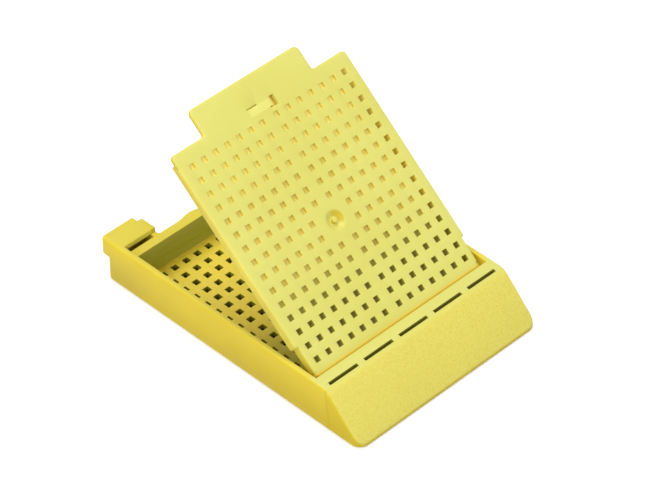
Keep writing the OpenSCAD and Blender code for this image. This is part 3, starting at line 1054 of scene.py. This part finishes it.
slope_faces = (0, -math.sin(SLOPE_ANGLE), math.cos(SLOPE_ANGLE))
tray_plastic = Plastic("yellow_tray", [(0, 0, 1), slope_faces], steepest=0.7, least_pale=0.0)
across, along, up = [tray_plastic.place.part(axis) for axis in "XYZ"]
behind_ledge = along.step(*LEDGE_END)
on_slope = 1 - along.step(*SLOPE_EDGE)
near_line = (along + (LINE_TOP - up) * LINE_LEAN).around(LINE_PLACE, *LINE_HALF)
mould_line = near_line * across.size().step(*LINE_SIDE)
outside_room = across.size().step(*ROOM_HALF).larger((along - ROOM_MIDDLE).size().step(*ROOM_REACH))
in_room = 1 - outside_room
inner_sides = in_room * (1 - up.step(*ROOM_TOP)) * tray_plastic.tilted
floor_top = in_room * up.step(*FLOOR_LOW) * (1 - up.step(*FLOOR_HIGH)) * tray_plastic.facing
floor_hole_walls = in_room * (1 - up.step(*HOLE_WALL_TOP)) * tray_plastic.tilted
ear_slot = along.around(EAR_SLOT, *EAR_SLOT_HALF) * across.size().around(EAR_SLOT_MIDDLE, *EAR_SLOT_REACH)
# Painted highlight on the walls of the slots in front of the ears.
ear_slot_wall = ear_slot * tray_plastic.faces.part("Y").size().step(*FACING_ENDS)
ledge_slot = along.around(LEDGE_SLOT, *LEDGE_SLOT_HALF) * across.around(0.0, *LEDGE_SLOT_ENDS)
groove_edge = up.around(GROOVE_LEVEL, *GROOVE_BAND) * along.around(GROOVE_PLACE, *GROOVE_REACH)
print("nodes in the tray's masks", len(tray_plastic.tree.nodes))

# %% The tray's finish
LIT_LEDGE, SHADED, DIM = linear(219, 216, 117), linear(178, 182, 92), linear(176, 194, 112)
INSIDE_SHADE, FLOOR_LIT, FLOOR_SHADED = linear(212, 192, 66), linear(248, 224, 84), linear(172, 178, 58)
GLARE, LOW_SHADE_RISE = linear(250, 240, 110), (0.0005, 0.0056)
DIM_TO_SHADED, INSIDE_TO_BACK, SHADED_TO_LIT = (0.001, 0.004), (0.0, 0.013), (-0.011, 0.004)
# Painted light: the ledge and the writing face take pale, lit colours, the writing face the brighter one but
# less of it, and faces behind the ledge less still.
paleness = 1 - behind_ledge * 0.7 - on_slope * 0.33
lit_tray = on_slope.tint(LIT_LEDGE, LIT_BRIGHT)
# Painted shade: the warm faces are painted darker towards the bottom, with a slow noise mixed in.
warmth = tray_plastic.cloud * 0.3 + up.step(*LOW_SHADE_RISE) * 0.7
# Painted shade on the room's inner walls: the back wall greener, greener still low down, with a painted
# highlight along the groove's edge; the other inner walls a duller, darker yellow.
back_shade = (groove_edge * 0.4).tint(up.step(*DIM_TO_SHADED).tint(DIM, SHADED), LIT_BRIGHT)
shade = along.step(*INSIDE_TO_BACK).tint(INSIDE_SHADE, back_shade)
# Painted light and shade on the room's floor: lit and warm at the back, shaded and greener towards the
# front.
floor_light_and_shade = along.step(*SHADED_TO_LIT).tint(FLOOR_SHADED, FLOOR_LIT)
tray_yellow = tray_plastic.yellow(paleness, (lit_tray, lit_tray), warmth, inner_sides, shade)
# Painted shade in the ledge's slots and on the walls of the floor's holes; the mould line takes a little of
# the same dark colour.
slot_shade_and_mould_line = (ledge_slot * tray_plastic.tilted).larger(mould_line * 0.3)
tray_colour = lay(tray_yellow, ((ear_slot_wall, 1.0, GLARE), (slot_shade_and_mould_line, 1.0, DARK_SHADE_AND_LINE),
                                (floor_top, 1.0, floor_light_and_shade), (floor_hole_walls, 1.0, DARK_SHADE_AND_LINE)))
grain = (on_slope * 0.75 + 0.1).larger(mould_line * 2)
tray_height = tray_plastic.speck * (on_slope * 1.2 + 0.25) + tray_plastic.peel * 0.3 - mould_line * 0.6
tray_rough = tray_plastic.cloud * 0.06 + on_slope * 0.12 + 0.42
tray.data.materials.append(tray_plastic.finish(tray_colour, grain, tray_height, tray_rough, NO_GLOW))

# %% [markdown]
# ## Floor and light
# The floor and the surroundings are plain and pale. Both look white to the camera and in reflections,
# while the floor still takes the object's shadow. Under the tray the floor is painted dark as shade and
# does not glow, so that the holes look down into the dark. The main lamp stands high and a little behind,
# and two weaker ones stand low on the left and high in front.

# %% Floor
FLOOR_SIZE, FLOOR_DROP, FLOOR_GLOW = 2.4, 0.00002, 0.4
WHITE, PALE_GREY, SHADE_UNDER_TRAY = (1.0, 1.0, 1.0, 1.0), (0.8, 0.8, 0.8, 1.0), (0.06, 0.05, 0.015, 1.0)
DARK_SIDE = (half_width / UNITS - 0.0014, half_width / UNITS - 0.0008)
DARK_END, DARK_MIDDLE = (0.0186, 0.0194), -0.0005


def white_behind(tree):
    """1 to the camera and in reflections, 0 to the light that falls on the object."""
    start = Signal(tree)
    seen = start.node("LightPath", result="Is Camera Ray") + start.node("LightPath", result="Is Glossy Ray")
    return start, (seen + start.node("LightPath", result="Is Transmission Ray")).step(0.0, 1.0)


put_down()
bpy.ops.mesh.primitive_plane_add(size=FLOOR_SIZE, location=(0, 0, -FLOOR_DROP))
floor = bpy.context.object
floor.name = "floor"
floor_finish = bpy.data.materials.new("floor")
floor_tree = bare_tree(floor_finish)
start, seen = white_behind(floor_tree)
spot = start.node("TexCoord", result="Object")
# Painted shade: a dark patch of floor under the tray's outline.
beyond_side = spot.part("X").size().step(*DARK_SIDE)
beyond_end = (spot.part("Y") - DARK_MIDDLE).size().step(*DARK_END)
pale = start.node("BsdfDiffuse", inputs={"Color": PALE_GREY})
dark = start.node("BsdfDiffuse", inputs={"Color": SHADE_UNDER_TRAY})
glow = start.node("Emission", inputs={"Color": WHITE, "Strength": FLOOR_GLOW})
both = start.node("AddShader", inputs={0: pale, 1: glow})
open_floor = start.node("MixShader", inputs={0: seen, 1: pale, 2: both})
mixed = start.node("MixShader", inputs={0: beyond_side.larger(beyond_end), 1: dark, 2: open_floor})
end_with(floor_tree, "Material", mixed)
floor.data.materials.append(floor_finish)
print("floor nodes", len(floor_tree.nodes))

# %% Light
FILL, LAMP_SIZE = 0.42, 0.3
world = bpy.data.worlds.new("surroundings")
scene.world = world
world_tree = bare_tree(world)
start, seen = white_behind(world_tree)
fill = start.node("Background", inputs={"Color": WHITE, "Strength": FILL})
white = start.node("Background", inputs={"Color": WHITE, "Strength": 1.0})
end_with(world_tree, "World", start.node("MixShader", inputs={0: seen, 1: fill, 2: white}))


def lamp(name, place, power):
    data = bpy.data.lights.new(name, "AREA")
    data.shape = "SQUARE"
    data.size = LAMP_SIZE
    data.energy = power
    made = bpy.data.objects.new(name, data)
    scene.collection.objects.link(made)
    made.location = place
    made.rotation_euler = (-Vector(place)).to_track_quat("-Z", "Y").to_euler()


lamp("back_lamp", (-0.03, 0.15, 0.57), 1.45)
lamp("left_lamp", (-0.45, -0.05, 0.30), 0.95)
lamp("front_lamp", (0.10, -0.30, 0.45), 0.6)
